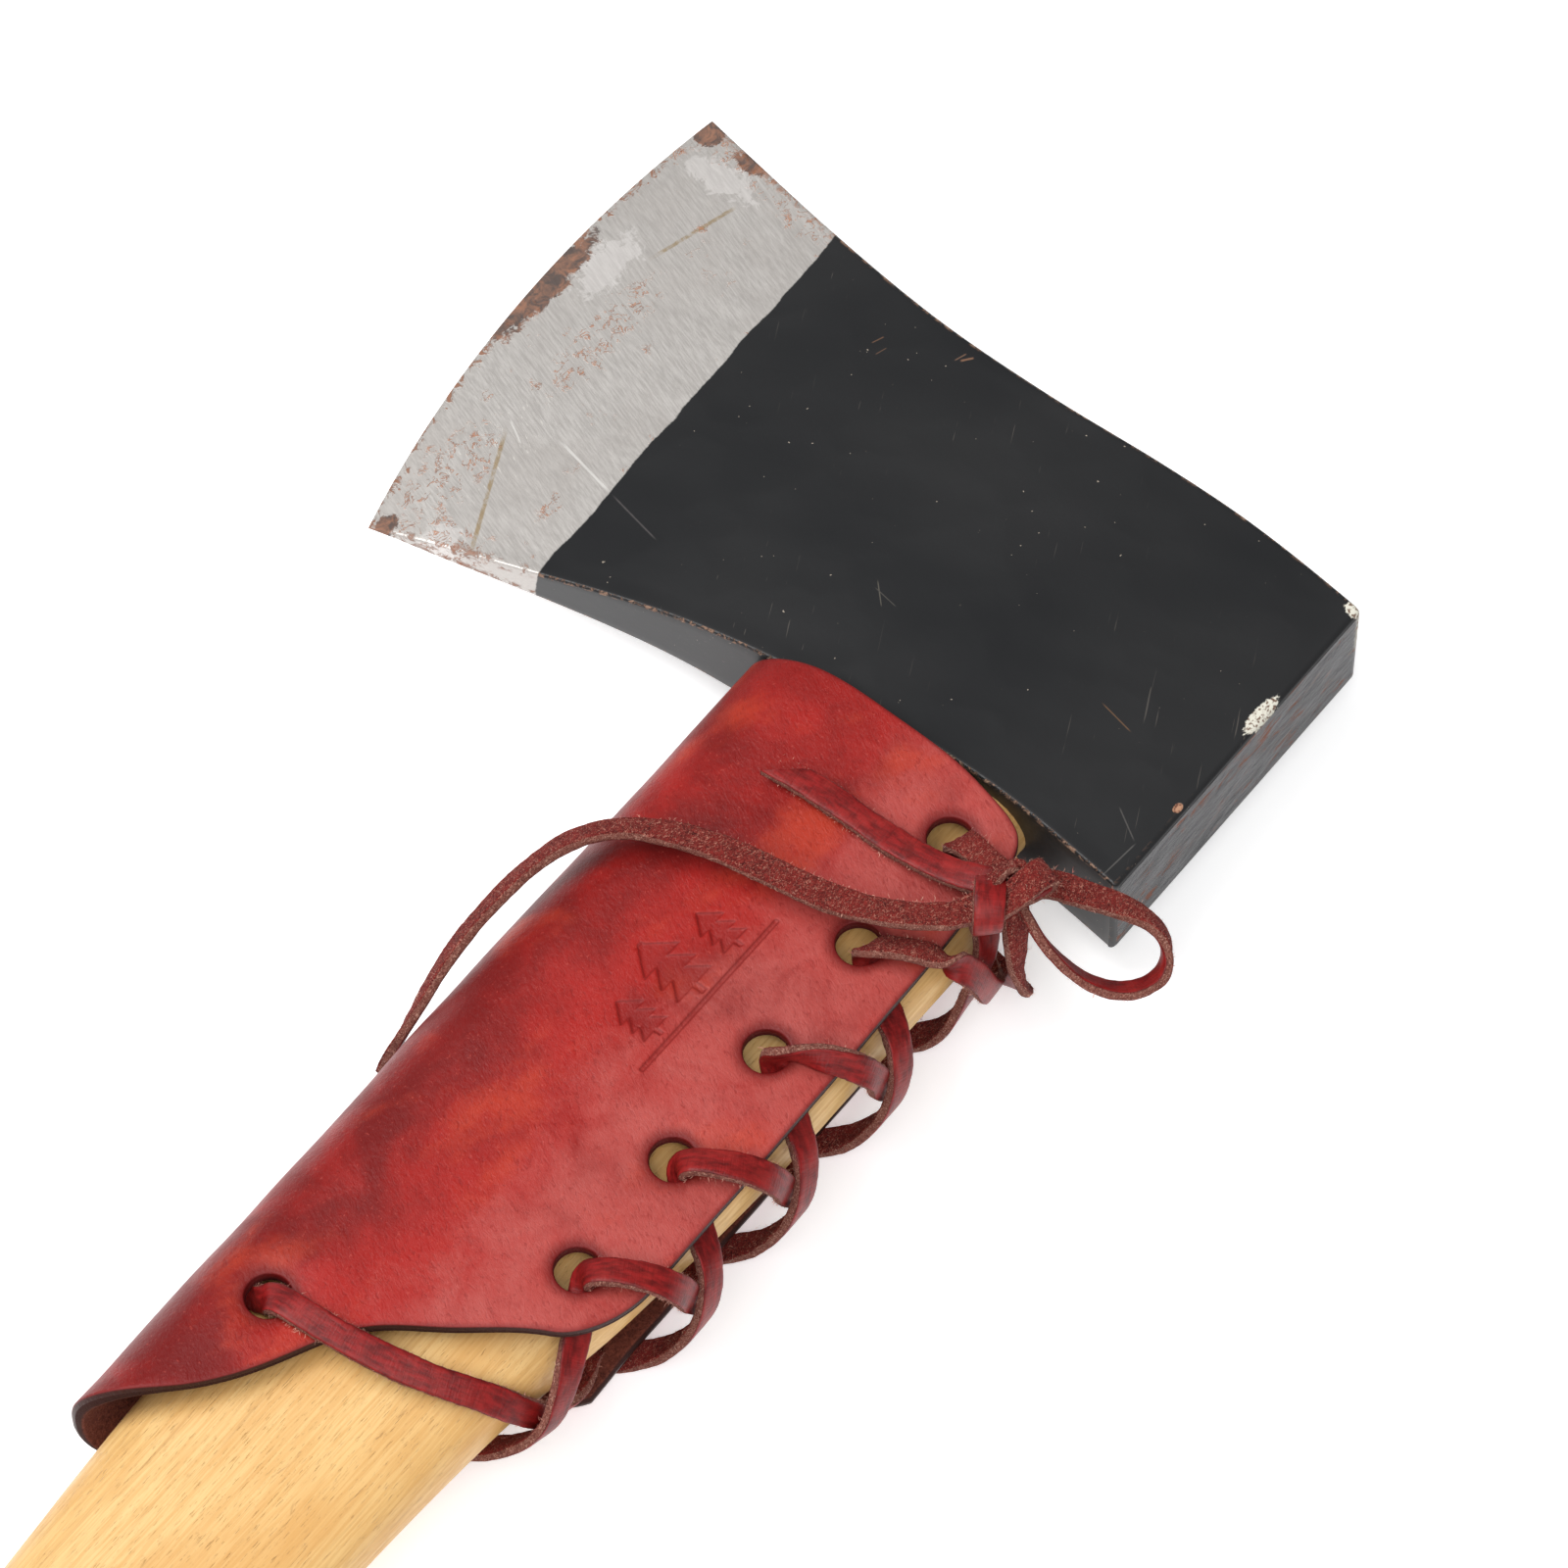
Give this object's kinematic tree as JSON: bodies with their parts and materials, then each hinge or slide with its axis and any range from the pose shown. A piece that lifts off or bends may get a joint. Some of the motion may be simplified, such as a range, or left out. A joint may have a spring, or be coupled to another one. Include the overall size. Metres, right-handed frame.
{
  "type": "hatchet",
  "caption": "Camp hatchet with a forged wedge head, a wooden haft wedged in the eye, and a laced leather guard round the neck of the haft.",
  "frame": {"origin": "bottom centre of the hatchet's box as it lies on its cheek, the loose lace ends left out; the table is z = 0", "axes": "+X along the haft from the head to the butt, +Y from the bit to the poll, +Z across the thickness of the head"},
  "size_m": [0.407, 0.1677, 0.0427],
  "materials": {
    "painted_steel": "satin black paint behind a bare ground bit",
    "bare_steel": "bare steel",
    "haft_wood": "pale oiled hardwood",
    "wedge_wood": "end grain",
    "guard_leather": "burnished red-brown vegetable-tanned leather",
    "lace_leather": "dark red thong, glossy on the grain side and rough on the flesh side"
  },
  "bodies": {
    "root": {"axe_head": "painted_steel", "handle": "haft_wood", "wooden_eye_wedge": "wedge_wood", "steel_eye_wedges": "bare_steel", "leather_guard": "guard_leather", "lacing": "lace_leather", "lace_knot": "lace_leather", "lace_loop": "lace_leather", "lace_long_tail": "lace_leather", "lace_short_tail": "lace_leather"}
  },
  "joints": []
}
